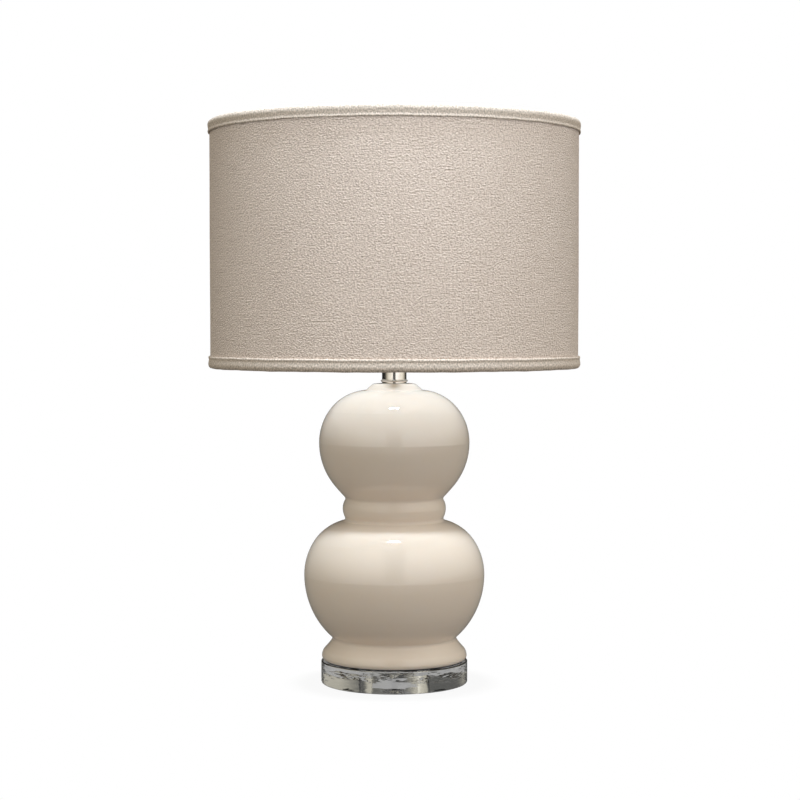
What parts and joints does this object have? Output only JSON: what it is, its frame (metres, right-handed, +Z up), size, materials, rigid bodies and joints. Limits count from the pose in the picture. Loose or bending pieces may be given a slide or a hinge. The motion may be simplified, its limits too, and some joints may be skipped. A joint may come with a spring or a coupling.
{
  "type": "table lamp",
  "caption": "Table lamp with a glossy cream double-gourd glass body on a clear disc base, polished neck, harp and linen drum shade.",
  "frame": {"origin": "on the table under the middle of the base", "axes": "+Z up; -Y towards the viewer of the picture and the switch knob; +Y towards the cord hole and the shade's seam; X across the harp"},
  "size_m": [0.381, 0.381, 0.5842],
  "materials": {
    "clear_acrylic": "polished clear acrylic",
    "clear_bumper": "clear soft plastic",
    "clear_bush": "moulded clear plastic",
    "zinc_steel": "zinc plated",
    "black_gasket": "matt black",
    "cased_glass": "opaque cream, glossy",
    "soft_washer": "matt",
    "polished_nickel": "polished",
    "satin_nickel": "satin",
    "fibre_card": "pressed card",
    "phenolic": "moulded",
    "brass": "bright",
    "bare_aluminium": "pressed",
    "white_paint": "gloss white",
    "white_styrene": "satin white sheet",
    "linen": "woven slub linen",
    "linen_trim": "folded linen band",
    "bulb_white": "satin",
    "bulb_diffuser": "milky"
  },
  "bodies": {
    "lamp": {"foot_pads": "clear_bumper", "base_disc": "clear_acrylic", "cord_grommet": "clear_bush", "base_nut": "zinc_steel", "base_lock_washer": "zinc_steel", "base_washer": "zinc_steel", "lamp_pipe": "zinc_steel", "base_gasket": "black_gasket", "centring_plate": "zinc_steel", "gourd_body": "cased_glass", "seat_washer": "soft_washer", "neck_ring": "polished_nickel", "neck_tube": "polished_nickel", "harp_saddle": "satin_nickel", "saddle_nut": "zinc_steel", "socket_cap": "satin_nickel", "socket_set_screw": "zinc_steel", "socket_shell": "satin_nickel", "socket_liner": "fibre_card", "socket_interior": "phenolic", "terminal_screws": "brass", "screw_shell": "brass", "centre_contact": "brass"},
    "switch": {"switch_rotor": "phenolic", "switch_stem": "brass", "switch_knob": "phenolic"},
    "harp": {"harp_wire": "satin_nickel"},
    "ferrule_left": {"ferrule_left": "satin_nickel"},
    "ferrule_right": {"ferrule_right": "satin_nickel"},
    "swivel": {"harp_stud": "satin_nickel"},
    "shade": {"shade_hub": "white_paint", "spider_arms": "white_paint", "shade_top_ring": "white_paint", "shade_bottom_ring": "white_paint", "shade_liner": "white_styrene", "shade_fabric": "linen", "top_trim": "linen_trim", "bottom_trim": "linen_trim"},
    "finial_thread": {"finial_insert": "brass"},
    "finial": {"finial_knob": "polished_nickel"},
    "bulb_foot": {"bulb_contact": "brass", "bulb_insulator": "phenolic"},
    "bulb": {"bulb_cap": "bare_aluminium", "bulb_housing": "bulb_white", "bulb_board": "bare_aluminium", "bulb_diffuser": "bulb_diffuser"}
  },
  "joints": [
    {"name": "switch_turn", "type": "hinge", "parent": "lamp", "child": "switch", "pos_m": [0, -0.0105, 0.3631], "axis": [0, -1, 0], "continuous": true},
    {"name": "harp_lift", "type": "slide", "parent": "lamp", "child": "harp", "axis": [0, 0, 1], "range_m": [0, 0.02]},
    {"name": "ferrule_left_slide", "type": "slide", "parent": "harp", "child": "ferrule_left", "axis": [0, 0, 1], "range_m": [0, 0.015]},
    {"name": "ferrule_right_slide", "type": "slide", "parent": "harp", "child": "ferrule_right", "axis": [0, 0, 1], "range_m": [0, 0.015]},
    {"name": "swivel_turn", "type": "hinge", "parent": "harp", "child": "swivel", "pos_m": [0, 0, 0.561], "axis": [0, 0, 1], "continuous": true},
    {"name": "shade_lift", "type": "slide", "parent": "swivel", "child": "shade", "axis": [0, 0, 1], "range_m": [0, 0.03]},
    {"name": "finial_rise", "type": "slide", "parent": "shade", "child": "finial_thread", "axis": [0, 0, 1], "range_m": [0, 0.0105]},
    {"name": "finial_turn", "type": "hinge", "parent": "finial_thread", "child": "finial", "pos_m": [0, 0, 0.5628], "axis": [0, 0, 1], "range_deg": [0, 4020]},
    {"name": "bulb_rise", "type": "slide", "parent": "lamp", "child": "bulb_foot", "axis": [0, 0, 1], "range_m": [0, 0.02]},
    {"name": "bulb_turn", "type": "hinge", "parent": "bulb_foot", "child": "bulb", "pos_m": [0, 0, 0.3823], "axis": [0, 0, 1], "range_deg": [0, 1980]}
  ],
  "couplings": [
    {"joint": "finial_rise", "follows": "finial_turn", "m_per_rad": 0.00014961},
    {"joint": "bulb_rise", "follows": "bulb_turn", "m_per_rad": 0.00057773}
  ]
}
